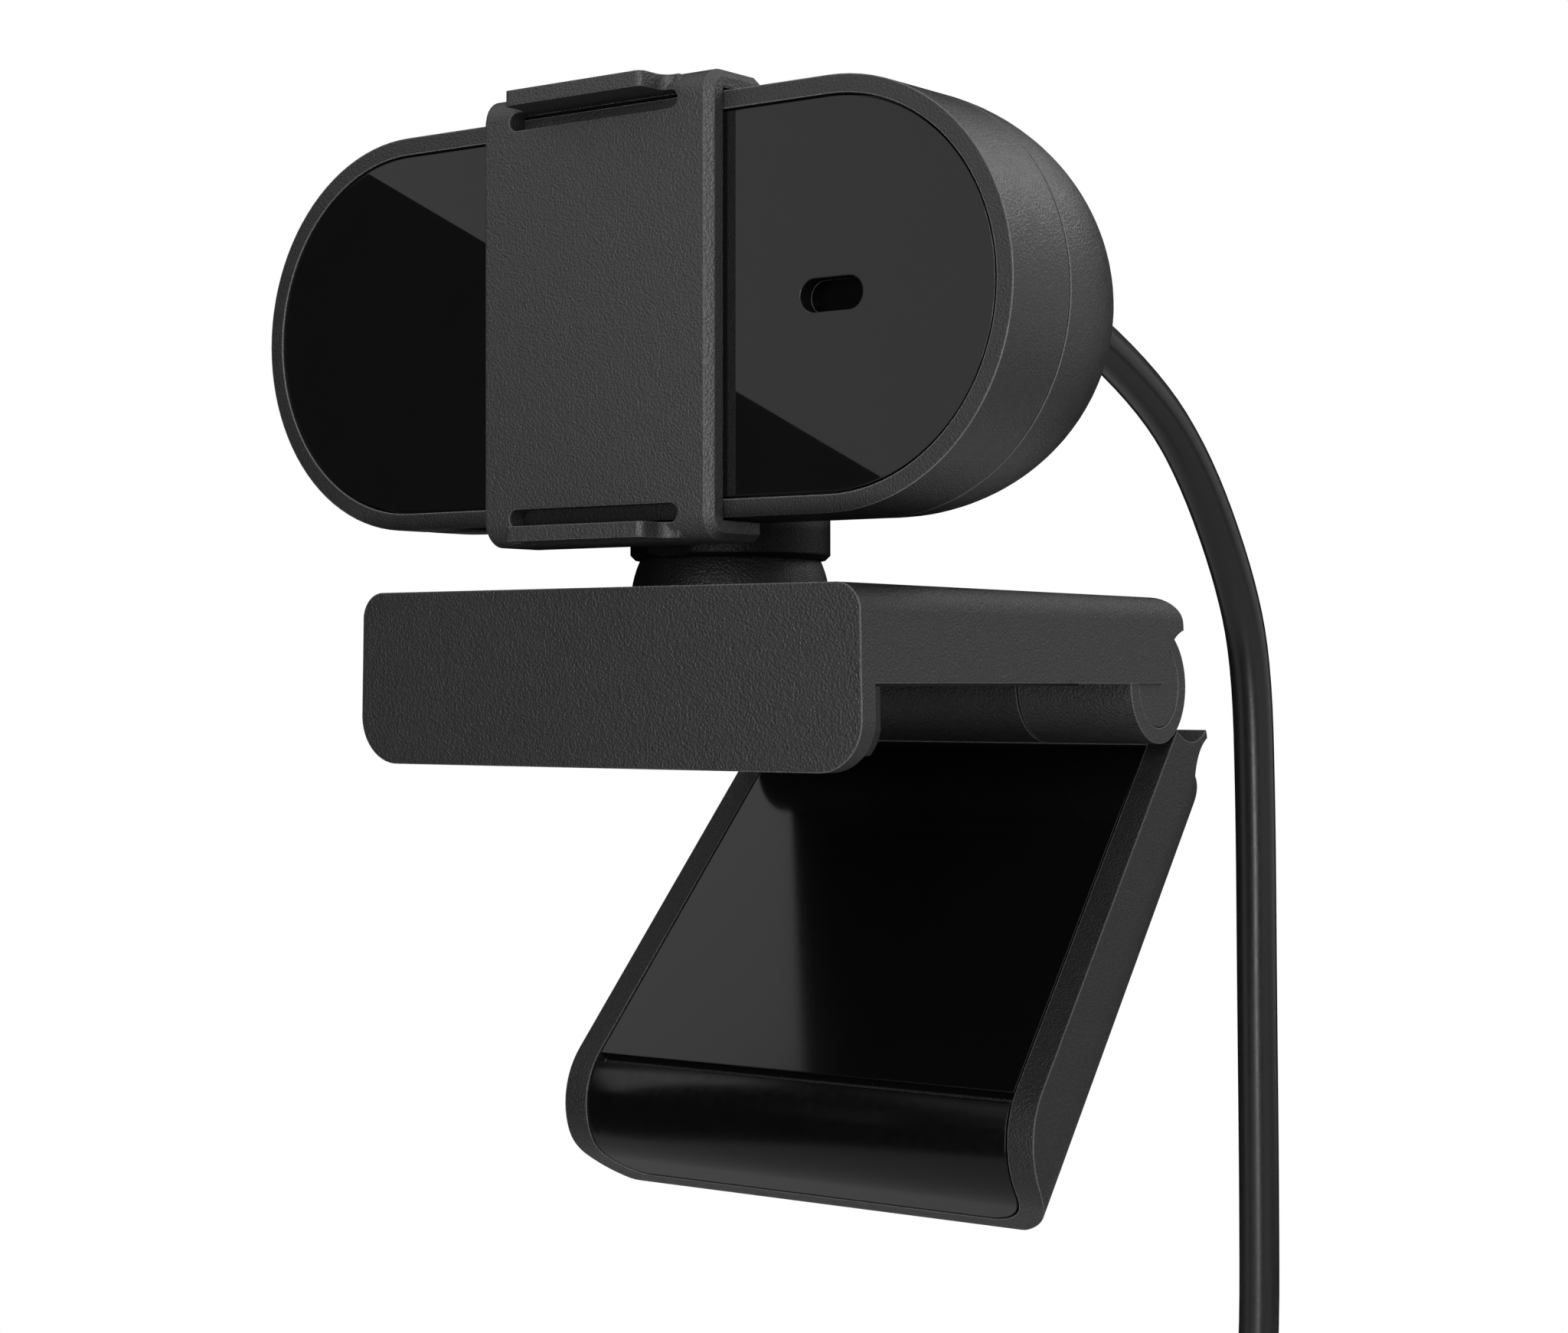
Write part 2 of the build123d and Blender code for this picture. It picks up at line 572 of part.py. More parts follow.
FOOT_START = LEG_LENGTH - FOOT_ROUND
top_edge = (LEG_TOP, 0)
scoop_low, tip, tip_back, neck_back, neck_end = [
    (LEG_TOP - above, back) for above, back in (SCOOP_LOW, SCOOP_TIP, TIP_BACK, NECK_BACK, NECK_END)
]
shoulder = (neck_end[0] + LEG_THICK - neck_end[1], LEG_THICK)
sole_back = (LEG_LENGTH, LEG_THICK - SOLE_EDGE)
back_low = (LEG_LENGTH - SOLE_EDGE, LEG_THICK)
side = make_face(
    Line(top_edge, on_foot(0))
    + ThreePointArc(on_foot(0), on_foot(45), on_foot(90))
    + Line(on_foot(90), sole_back)
    + TangentArc(sole_back, back_low, tangent=(0, 1))
    + Line(back_low, shoulder)
    + TangentArc(shoulder, neck_end, tangent=(-1, 0))
    + ThreePointArc(neck_end, neck_back, tip_back)
    + Line(tip_back, tip)
    + ThreePointArc(tip, scoop_low, top_edge)
)
leg = leg_across(side, WIDE / 2) & leg_bar(0, LEG_THICK)

# Middle knuckle and the web that ties it to the leg
LEG_KNUCKLE = KNUCKLE_HALF - KNUCKLE_END_GAP
web = Polygon(
    (0, -LEG_OFFSET),
    (-WEB_HIGH, -LEG_FACE_GAP),
    top_edge,
    (LEG_TOP + WEB_LAP, WEB_LAP),
    (PANEL_TOP - WEB_LAP, WEB_LAP),
    (PANEL_TOP - WEB_LAP, 0),
    WEB_FOOT,
    align=None,
)
leg += leg_across(web, LEG_KNUCKLE)
leg += hinge_rod(BARREL_R, -LEG_KNUCKLE, LEG_KNUCKLE)
BUSH_R = PIN_R + PIN_RUNNING_GAP + BUSH_WALL
leg -= hinge_rod(BUSH_R, -LEG_KNUCKLE, LEG_KNUCKLE)

# One recess holds the flat panel and the foot's curved pad, with a groove between
panel_end = GROOVE_AT - GROOVE_WIDTH / 2
pad_start = math.degrees(math.asin((GROOVE_AT + GROOVE_WIDTH / 2 - FOOT_START) / FOOT_ROUND))
leg -= leg_front(leg_plate(PANEL_TOP, FOOT_START, LEG_RIM), -OVER, PANEL_THICK)
foot_recess = leg_across(foot_band(0, OVER, PANEL_THICK), WIDE / 2)
leg -= foot_recess & leg_bar(LEG_RIM, LEG_THICK - FOOT_RIM)
save("leg_shell", leg)
panel = leg_plate(PANEL_TOP + PANEL_GAP, panel_end, LEG_RIM + PANEL_GAP)
save("leg_panel", leg_front(panel, PANEL_SUNK, PANEL_THICK))
foot_pad = leg_across(foot_band(pad_start, -PANEL_SUNK, PANEL_THICK), WIDE / 2)
foot_pad &= leg_bar(LEG_RIM + PANEL_GAP, LEG_THICK - FOOT_RIM - PANEL_GAP)
save("foot_pad", foot_pad)
bush_end = LEG_KNUCKLE - BUSH_FROM_END
bushes = []
for side_sign in (-1, 1):
    near, far = side_sign * (bush_end - BUSH_LENGTH), side_sign * bush_end
    bushes.append(hinge_rod(BUSH_R, near, far) - hinge_rod(PIN_R + PIN_RUNNING_GAP, near, far))
save("friction_bushes", *bushes)


# Camera head

def stadium(grow):
    """The head's front outline, grown or shrunk all round."""
    return SlotOverall(HEAD_WIDTH + 2 * grow, HEAD_HEIGHT + 2 * grow)


def pill():
    """The dome's outside: elliptical in depth, round at its ends."""
    quarter = make_face(
        EllipticalCenterArc((SEAM_Y, HEAD_Z), DOME_DEPTH, HEAD_R, 0, arc_size=90)
        + Line((SEAM_Y, HEAD_Z + HEAD_R), (SEAM_Y, HEAD_Z))
        + Line((SEAM_Y, HEAD_Z), (SEAM_Y + DOME_DEPTH, HEAD_Z))
    )
    half = quarter + mirror(quarter, Plane((0, HEAD_Z, 0), x_dir=(1, 0, 0), z_dir=(0, 1, 0)))
    solid = across(half, -END_X, END_X)
    for end in (-1, 1):
        face = Plane.YZ.offset(end * END_X) * quarter
        solid += revolve(face, Axis((end * END_X, 0, HEAD_Z), (0, end, 0)), 180)
    return solid


def dome_hollow():
    """The dome's inside: straight past the seam lip, then closing in steps along its inner wall."""
    deep, high = DOME_DEPTH - HEAD_WALL, HEAD_R - HEAD_WALL
    steps = [(SEAM_LIP + SEAM_LIP_GAP, high)]
    steps += [(deep * math.sin(a), high * math.cos(a)) for a in map(math.radians, HOLLOW_ANGLES)]
    hollow = run_back(stadium(-HEAD_WALL), SEAM_Y, SEAM_Y + steps[0][0], HEAD_Z)
    for (near, wide), (far, narrow) in zip(steps, steps[1:]):
        plane = Plane(origin=(0, SEAM_Y + near, HEAD_Z), x_dir=(1, 0, 0), z_dir=(0, 1, 0))
        closing = math.degrees(math.atan2(wide - narrow, far - near))
        hollow += extrude(plane * stadium(wide - HEAD_R), amount=far - near, taper=closing)
    return hollow


lip_out = HEAD_WALL + SEAM_LIP_GAP
lip_in = lip_out + SEAM_LIP_WALL
housing = run_back(stadium(0), RIM_Y, SEAM_Y - SEAM_GROOVE, HEAD_Z)
housing += run_back(stadium(-SEAM_GROOVE), SEAM_Y - SEAM_GROOVE, SEAM_Y, HEAD_Z)
housing -= run_back(stadium(-RIM_WIDTH), RIM_Y, WEB_Y, HEAD_Z)
housing -= run_back(stadium(-lip_in), WEB_BACK, SEAM_Y, HEAD_Z)
seam_ring = run_back(stadium(-lip_out) - stadium(-lip_in), SEAM_Y - OVER, SEAM_Y + SEAM_LIP, HEAD_Z)
seam_ring -= upright(COLLAR_R + SEAM_LIP_GAP, 0, HEAD_Z)
housing += seam_ring
housing -= run_back(Circle(LENS_HOLE_R - LENS_LEDGE), RIM_Y, SEAM_Y, HEAD_Z)
slot_outline = SlotOverall(SLOT_LENGTH, SLOT_HEIGHT)
housing -= run_back(slot_outline, RIM_Y, SEAM_Y, HEAD_Z, SLOT_X)
post_spots = [
    (sx * (BOARD_WIDTH / 2 - POST_INSET[0]), HEAD_Z + sz * (BOARD_HEIGHT / 2 - POST_INSET[1]))
    for sx in (-1, 1)
    for sz in (-1, 1)
]
for x, z in post_spots:
    housing += run_back(Circle(POST_R), WEB_BACK, BOARD_Y, z, x)
    housing -= run_back(Circle(SCREW_R), WEB_BACK, BOARD_Y, z, x)

# Grooves that the privacy cover's hooks run in
hook_y = COVER_Y + COVER_REACH - HOOK_WIDE - HOOK_FROM_END
groove_ends = (-COVER_TRAVEL - HOOK_LENGTH / 2 - HOOK_GAP, HOOK_LENGTH / 2 + HOOK_GAP)
groove_depth = HOOK_DEEP - COVER_ARM_GAP + HOOK_GAP
for low in (HEAD_BOTTOM - OVER, HEAD_TOP - groove_depth):
    high = low + OVER + groove_depth
    housing -= between(groove_ends, (hook_y - HOOK_GAP, hook_y + HOOK_WIDE + HOOK_GAP), (low, high))
save("front_housing", housing)

face = run_back(stadium(-RIM_WIDTH - FACE_GAP), FACE_Y, WEB_Y, HEAD_Z)
face -= run_back(Circle(LENS_HOLE_R), FACE_Y, WEB_Y, HEAD_Z)
face -= run_back(slot_outline, FACE_Y, WEB_Y, HEAD_Z, SLOT_X)
save("face_panel", face)

# Rear shell with the neck collar and its ball socket
shell = pill() - dome_hollow()
collar = upright(COLLAR_R, COLLAR_BOTTOM, SOCKET_TOP)
collar = chamfer(collar.edges().group_by(Axis.Z)[0], COLLAR_EDGE)
shell += collar & between((-WIDE, WIDE), (SEAM_Y, WIDE), (0, WIDE))
shell -= Pos(0, 0, BALL_Z) * Sphere(BALL_R + BALL_GAP)
shell -= upright(STUD_R, BALL_Z, SOCKET_TOP)

# Grommet seated square on the dome's back
rise = math.radians(GROMMET_RISE)
seat_turn = math.atan(math.tan(rise) * HEAD_R / DOME_DEPTH)
SEAT = Plane(
    origin=(0, SEAM_Y + DOME_DEPTH * math.cos(seat_turn), HEAD_Z + HEAD_R * math.sin(seat_turn)),
    x_dir=(1, 0, 0),
    z_dir=(0, math.cos(rise), math.sin(rise)),
)


def on_seat(radius, start, end):
    """A round bar along the grommet's axis, by distances out from its seat."""
    return rod(radius, tuple(SEAT.origin + SEAT.z_dir * start), tuple(SEAT.origin + SEAT.z_dir * end))


neck_in = HEAD_WALL + GROMMET_INNER
shell -= on_seat(GROMMET_NECK_R + GROMMET_FIT, -DOME_DEPTH / 2, GROMMET_LENGTH)
shell -= on_seat(GROMMET_NECK_R + GROMMET_INNER + GROMMET_FIT, -DOME_DEPTH / 2, -neck_in)
save("rear_shell", shell)
tip_r = CORD_D / 2 + GROMMET_TIP_WALL
rib_r = GROMMET_BASE_R - GROMMET_RIB_DEEP
boot = [(0, 0), (GROMMET_BASE_R, 0), (GROMMET_BASE_R, GROMMET_BASE_THICK)]
for k in range(GROMMET_RIBS):
    radius = rib_r - (rib_r - tip_r) * (k + 0.5) / GROMMET_RIBS
    root = radius - GROMMET_RIB_DEEP
    low = GROMMET_BASE_THICK + k * GROMMET_RIB_STEP
    boot += [(root, low), (root, low + GROMMET_RIB_GAP)]
    boot += [(radius, low + GROMMET_RIB_GAP), (radius, low + GROMMET_RIB_STEP)]
ribs_end = GROMMET_BASE_THICK + GROMMET_RIBS * GROMMET_RIB_STEP
boot += [(CORD_D / 2 + GROMMET_END_WALL, ribs_end), (CORD_D / 2 + GROMMET_END_WALL, GROMMET_LENGTH)]
boot += [(0, GROMMET_LENGTH)]
boot_face = make_face(Polyline(*boot, close=True))
SEAT_PROFILE = Plane(
    origin=SEAT.origin + SEAT.z_dir * GROMMET_SEAT_GAP, x_dir=(1, 0, 0), z_dir=SEAT.y_dir * -1
)
grommet = revolve(SEAT_PROFILE * boot_face, Axis(SEAT.origin, SEAT.z_dir), 360)
grommet += on_seat(GROMMET_NECK_R, -neck_in, GROMMET_BASE_THICK)
grommet += on_seat(GROMMET_NECK_R + GROMMET_INNER, -neck_in - GROMMET_INNER, -neck_in)
save("cable_grommet", grommet)

# Stud that clamps the head to the dome: ball washer, spring washer and nut
inner_ball = Pos(0, 0, BALL_Z) * Sphere(BORE_R - BALL_GAP)
ball_washer = inner_ball & between((-WIDE, WIDE), (-WIDE, WIDE), (WASHER_UNDER, WIDE))
ball_washer -= upright(STUD_R, BALL_Z, BALL_Z + BALL_R)
spring = revolve(
    Plane.XZ * Polygon(
        (STUD_R, NUT_TOP),
        (STUD_R + SPRING_WALL, NUT_TOP),
        (SPRING_R, WASHER_UNDER),
        (SPRING_R - SPRING_WALL, WASHER_UNDER),
        align=None,
    ),
    SWIVEL_AXIS,
    360,
)
nut = stand(RegularPolygon(NUT_R, 6), NUT_TOP - NUT_HIGH, NUT_TOP)
nut -= upright(STUD_R, NUT_TOP - NUT_HIGH, NUT_TOP)
stud = upright(STUD_R, NUT_TOP - NUT_HIGH - STUD_END, SOCKET_TOP)
stud += upright(STUD_HEAD_R, SOCKET_TOP, SOCKET_TOP + STUD_HEAD)
save("ball_washer", ball_washer)
save("spring_washer", spring)
save("stud_nut", nut)
save("neck_stud", stud)

# Lens, sensor and circuit board
save("lens_window", run_back(Circle(LENS_HOLE_R - WINDOW_FIT), FACE_Y + WINDOW_SUNK, WEB_Y, HEAD_Z))
holder_front = BOARD_Y - HOLDER_DEPTH
barrel_front = holder_front - LENS_BARREL_OUT
barrel_back = barrel_front + LENS_BARREL_LENGTH
glass_seat = barrel_front + LENS_SEAT_DEPTH
lens_barrel = run_back(Circle(LENS_BARREL_R), barrel_front, barrel_back, HEAD_Z)
lens_barrel -= run_back(Circle(LENS_BARREL_R - LENS_SEAT_WALL), barrel_front, glass_seat, HEAD_Z)
lens_barrel -= run_back(Circle(LENS_BARREL_R - LENS_BORE_WALL), barrel_front, barrel_back, HEAD_Z)
save("lens_barrel", lens_barrel)
glass_r = LENS_BARREL_R - LENS_SEAT_WALL - GLASS_FIT
glass_ball = (glass_r ** 2 + GLASS_BULGE ** 2) / (2 * GLASS_BULGE)
glass_front = glass_seat - GLASS_THICK
glass = run_back(Circle(glass_r), glass_front, glass_seat, HEAD_Z)
save("lens_glass", glass & Pos(0, glass_front + glass_ball, HEAD_Z) * Sphere(glass_ball))
holder = run_back(RectangleRounded(HOLDER_SIDE, HOLDER_SIDE, HOLDER_CORNER), holder_front, BOARD_Y, HEAD_Z)
holder -= run_back(Circle(LENS_BARREL_R + LENS_BARREL_FIT), holder_front, BOARD_Y, HEAD_Z)
save("lens_holder", holder)
save("image_sensor", run_back(Rectangle(*SENSOR[:2]), BOARD_Y - SENSOR[2], BOARD_Y, HEAD_Z))
board_back = BOARD_Y + BOARD_THICK
board = run_back(RectangleRounded(BOARD_WIDTH, BOARD_HEIGHT, BOARD_CORNER), BOARD_Y, board_back, HEAD_Z)
board_screws = []
for x, z in post_spots:
    board -= run_back(Circle(SCREW_R + PLATE_GAP), BOARD_Y, board_back, z, x)
    screw = run_back(Circle(SCREW_R), WEB_BACK + POST_SCREW_GAP, board_back, z, x)
    board_screws.append(screw + run_back(Circle(SCREW_HEAD_R), board_back, board_back + SCREW_HEAD, z, x))
save("main_board", board)
save("board_screws", *board_screws)
microphones = []
for side_sign in (-1, 1):
    case = Rectangle(*MICROPHONE[:2])
    microphones.append(run_back(case, BOARD_Y - MICROPHONE[2], BOARD_Y, HEAD_Z, side_sign * MICROPHONE_X))
save("microphones", *microphones)
led_front = BOARD_Y - LED[2]
save("status_led", run_back(Rectangle(*LED[:2]), led_front, BOARD_Y, HEAD_Z, SLOT_X))
light_pipe = run_back(offset(slot_outline, -SLOT_FIT), WEB_Y, WEB_BACK, HEAD_Z, SLOT_X)
pipe_flange = offset(slot_outline, PIPE_FLANGE)
light_pipe += run_back(pipe_flange, WEB_BACK, WEB_BACK + PIPE_FLANGE_THICK, HEAD_Z, SLOT_X)
light_pipe += run_back(Rectangle(*PIPE_STEM), WEB_BACK, led_front - PIPE_LED_GAP, HEAD_Z, SLOT_X)
save("light_pipe", light_pipe)
connector = run_back(
    Rectangle(*CONNECTOR[:2]), board_back, board_back + CONNECTOR[2], HEAD_Z + CONNECTOR_RISE, CONNECTOR_X
)
save("board_connector", connector)

# Privacy cover: a plate with two arms that hook over the head, and finger flanges
profile = Polygon(
    (COVER_Y, ARM_UNDER),
    (COVER_Y + COVER_REACH, ARM_UNDER),
    (COVER_Y + COVER_REACH, ARM_UNDER + COVER_ARM),
    (COVER_Y + COVER_PLATE, ARM_UNDER + COVER_ARM),
    (COVER_Y + COVER_PLATE, ARM_TOP - COVER_ARM),
    (COVER_Y + COVER_REACH, ARM_TOP - COVER_ARM),
    (COVER_Y + COVER_REACH, ARM_TOP),
    (COVER_Y, ARM_TOP),
    align=None,
)
profile = fillet(profile.vertices().group_by(Axis.X)[0], COVER_BEND)
cover = across(profile, -COVER_WIDTH / 2, COVER_WIDTH / 2)
front_sides = cover.edges().filter_by(Axis.Z).group_by(Axis.Y)[0]
cover = chamfer(front_sides, COVER_CHAMFER)
finger_slot = SlotOverall(FINGER_SLOT_LENGTH, FINGER_SLOT_HIGH)
finger_half = FINGER_WIDTH / 2
finger_root = COVER_Y + FINGER_SUNK
root_half = finger_half + FINGER_ROOT + FINGER_SUNK
flange_plan = Polygon(
    (-root_half, COVER_Y + COVER_BEND),
    (-root_half, finger_root),
    (-finger_half, finger_root),
    (-finger_half, COVER_Y - FINGER_OUT),
    (finger_half, COVER_Y - FINGER_OUT),
    (finger_half, finger_root),
    (root_half, finger_root),
    (root_half, COVER_Y + COVER_BEND),
    align=None,
)
flange_plan = fillet(flange_plan.vertices().group_by(Axis.Y)[0], FINGER_CORNER)
roots = flange_plan.vertices().filter_by_position(Axis.Y, finger_root - 0.01, finger_root + 0.01)
flange_plan = fillet(roots.sort_by(lambda corner: abs(corner.X))[:2], FINGER_ROOT)
for side_sign in (-1, 1):
    edge = HEAD_Z + side_sign * (ARM_TOP - HEAD_Z - FINGER_DROP)
    inner = edge - side_sign * FINGER_DEEP
    slot_z = inner - side_sign * FINGER_SLOT_HIGH / 2
    cover -= run_back(finger_slot, COVER_Y - OVER, COVER_Y + COVER_PLATE, slot_z)
    cover += stand(flange_plan, min(edge, inner), max(edge, inner))
    hook = HEAD_Z + side_sign * (HEAD_R + COVER_ARM_GAP)
    hook_z = sorted((hook + side_sign * HOOK_LAP, hook - side_sign * HOOK_DEEP))
    cover += between((-HOOK_LENGTH / 2, HOOK_LENGTH / 2), (hook_y, hook_y + HOOK_WIDE), hook_z)
save("privacy_cover", cover)


# Cable

def bend_radii(points):
    """Each bend as wide as its two runs allow."""
    radii = []
    for a, b, c in zip(points, points[1:], points[2:]):
        before, after = Vector(b) - Vector(a), Vector(c) - Vector(b)
        turn = math.radians(before.get_angle(after))
        radii.append(0.45 * min(before.length, after.length) / math.tan(turn / 2))
    return radii


def biarc(start, start_way, end, end_way):
    """Two arcs that meet smoothly between two points with given directions."""
    across_gap = end - start
    both = start_way + end_way
    closing = 2 * (1 - start_way.dot(end_way))
    half = across_gap.dot(both)
    reach = (math.sqrt(half * half + closing * across_gap.dot(across_gap)) - half) / closing
    first, second = start + start_way * reach, end - end_way * reach
    middle = (first + second) * 0.5
    return [
        TangentArc(start, middle, tangent=start_way),
        TangentArc(middle, end, tangent=(second - first).normalized()),
    ]


def tube(path):
    """The cord's faceted section swept along lines and arcs, with its drift from true volume."""
    section = RegularPolygon(CORD_D / 2, CORD_SIDES)
    made = sweep(Plane(origin=path @ 0, z_dir=path % 0) * section, path=path)
    true_volume = section.area * path.length
    print("cord of", round(path.length, 1), "mm, volume ratio", round(made.volume / true_volume, 4))
    return made


cord_start = SEAT.origin + SEAT.z_dir * (GROMMET_LENGTH + GROMMET_SEAT_GAP)
lead_end = cord_start + SEAT.z_dir * CORD_LEAD
route = [tuple(cord_start), tuple(lead_end)] + CORD_BENDS + [CORD_END]
radii = bend_radii(route)
print("cord bend radii", [round(r, 1) for r in radii])
cord_path = FilletPolyline(*route, radius=radii)
save("usb_cable", tube(cord_path))

# Coil of the spare length: layers that spiral in and out, climbing at each turn-round
turn_step = CORD_D + TURN_GAP
layer_step = CORD_D + LAYER_GAP
outer_turn = COIL_RADIUS + LAYER_QUARTERS[0] / 4 * turn_step / 2
entry_way = (Vector(CORD_END) - Vector(CORD_BENDS[-1])).normalized()
entry_angle = math.atan2(-entry_way.Y, entry_way.Z)
COIL_MIDDLE = Vector(
    0,
    CORD_END[1] - outer_turn * math.cos(entry_angle),
    CORD_END[2] - outer_turn * math.sin(entry_angle),
)


def eased(share):
    """A share of a climb, level at both ends."""
    return share * share * (3 - 2 * share)


def coil_place(quarter):
    """Radius and height across the layers after some quarter turns."""
    start, x = 0.0, CORD_END[0]
    way = -turn_step / 4
    radius = outer_turn
    for layer, quarters in enumerate(LAYER_QUARTERS):
        last = layer == len(LAYER_QUARTERS) - 1
        if quarter <= start + quarters or last:
            return radius + way * (quarter - start), x
        radius += way * quarters
        start += quarters
        if quarter <= start + CLIMB_QUARTERS:
            share = (quarter - start) / CLIMB_QUARTERS
            return radius + way * CLIMB_QUARTERS * share * (1 - share), x + layer_step * eased(share)
        start += CLIMB_QUARTERS
        x += layer_step
        way = -way


def coil_point(quarter):
    """A point of the coil after some quarter turns."""
    radius, x = coil_place(quarter)
    angle = entry_angle + quarter * math.pi / 2
    return Vector(x, COIL_MIDDLE.Y + radius * math.cos(angle), COIL_MIDDLE.Z + radius * math.sin(angle))


def coil_way(quarter):
    """The coil's direction after some quarter turns."""
    step = 1e-4
    return (coil_point(quarter + step) - coil_point(quarter - step)).normalized()


quarters = sum(LAYER_QUARTERS) + CLIMB_QUARTERS * (len(LAYER_QUARTERS) - 1)
lead = Vector(CORD_END) + entry_way * CORD_D
stops = [(lead, entry_way)]
stops += [(coil_point(q), coil_way(q)) for q in range(1, quarters + 1)]
hang = Vector(0, 0, -1)
tail_end = stops[-1][0] + Vector(0, -TAIL_OUT, -TAIL_DROP - TAIL_OUT)
stops.append((tail_end, hang))
plug_top = tail_end + hang * CORD_D
arcs = [Line(Vector(CORD_END), lead)]
for (a, way_a), (b, way_b) in zip(stops, stops[1:]):
    arcs += biarc(a, way_a, b, way_b)
arcs.append(Line(tail_end, plug_top))
coil_path = Wire(arcs)
save("cable_coil", tube(coil_path))
print("whole cord", round(cord_path.length + coil_path.length, 1), "mm")

# Least gap of the coil to itself, on points along it
spacing = 2.0
count = int(coil_path.length / spacing)
along = [coil_path @ (k / count) for k in range(count + 1)]
skip = int(CORD_D * 6 / spacing)
least = min(
    (along[i] - along[j]).length for i in range(count + 1) for j in range(i + skip, count + 1)
)
print("coil's least gap to itself", round(least - CORD_D, 2), "mm")

# Tie round every turn and the tail
tie_turn = math.radians(TIE_ANGLE)
out = Vector(0, math.cos(tie_turn), math.sin(tie_turn))
round_way = Vector(0, -math.sin(tie_turn), math.cos(tie_turn))
held = [
    point - COIL_MIDDLE
    for point in along
    if abs((point - COIL_MIDDLE).dot(round_way)) < TIE_WIDTH / 2 + spacing
    and (point - COIL_MIDDLE).dot(out) > 0
]
low_r, high_r = min(p.dot(out) for p in held), max(p.dot(out) for p in held)
low_x, high_x = min(p.X for p in held), max(p.X for p in held)
TIE = Plane(
    origin=COIL_MIDDLE + out * ((low_r + high_r) / 2) + Vector((low_x + high_x) / 2, 0, 0),
    x_dir=(1, 0, 0),
    z_dir=round_way,
)
tie_x = high_x - low_x + CORD_D + 2 * TIE_CLEARANCE
tie_r = high_r - low_r + CORD_D + 2 * TIE_CLEARANCE
band = RectangleRounded(tie_x + 2 * TIE_THICK, tie_r + 2 * TIE_THICK, TIE_CORNER + TIE_THICK)
band -= RectangleRounded(tie_x, tie_r, TIE_CORNER)
save("cable_tie", extrude(TIE * band, amount=TIE_WIDTH / 2, both=True))

# Plug, hanging from the tail: moulded grip, metal shell, tongue and contacts
PLUG = Plane(origin=plug_top, x_dir=(1, 0, 0), z_dir=(0, 0, -1))
body_w, body_t, body_l = PLUG_BODY
shell_w, shell_t, shell_l = PLUG_SHELL
boot_profile = make_face(
    Polyline(
        (0, 0), (CORD_D / 2 + PLUG_BOOT_WALL, 0), (PLUG_BOOT_R, PLUG_BOOT), (0, PLUG_BOOT), close=True
    )
)
boot_plane = Plane(origin=plug_top, x_dir=(1, 0, 0), z_dir=(0, 1, 0))
body_outline = RectangleRounded(body_w, body_t, PLUG_BODY_CORNER)
grip = PLUG * Pos(0, 0, PLUG_BOOT) * extrude(body_outline, amount=body_l)
grip = chamfer(grip.edges().group_by(Axis.Z)[-1], PLUG_BODY_END)
grip += revolve(boot_plane * boot_profile, Axis(tuple(plug_top), (0, 0, 1)), 360)
shell_base = PLUG_BOOT + body_l - PLUG_SHELL_SEAT
shell_outline = RectangleRounded(shell_w, shell_t, PLUG_SHELL_CORNER)
grip -= PLUG * Pos(0, 0, shell_base) * extrude(shell_outline, amount=shell_l)
save("plug_grip", grip)
metal = extrude(shell_outline, amount=shell_l)
metal -= extrude(offset(shell_outline, -PLUG_SHELL_WALL), amount=shell_l)
for x in (-shell_w / 5, shell_w / 5):
    metal -= Pos(x, 0, shell_l - PLUG_WINDOW_BACK) * Box(PLUG_WINDOW[0], shell_t * 2, PLUG_WINDOW[1])
save("plug_shell", PLUG * Pos(0, 0, shell_base) * metal)
tongue_w = shell_w - 2 * (PLUG_SHELL_WALL + PLUG_TONGUE_GAP)
tongue_side = (shell_t - PLUG_TONGUE_THICK) / 2 - PLUG_SHELL_WALL
tongue = extrude(Rectangle(tongue_w, PLUG_TONGUE_THICK), amount=shell_l - PLUG_TONGUE_SHORT)
save("plug_tongue", PLUG * Pos(0, tongue_side, shell_base) * tongue)
contact_w, contact_t, contact_l = PLUG_CONTACT
contact_side = tongue_side - (PLUG_TONGUE_THICK + contact_t) / 2
contacts = []
for k in range(PLUG_CONTACTS):
    x = (k - (PLUG_CONTACTS - 1) / 2) * PLUG_CONTACT_STEP
    strip = extrude(Rectangle(contact_w, contact_t), amount=contact_l)
    start = shell_base + PLUG_SHELL_SEAT + PLUG_CONTACT_START
    contacts.append(PLUG * Pos(x, contact_side, start) * strip)
save("plug_contacts", *contacts)
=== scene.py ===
import math

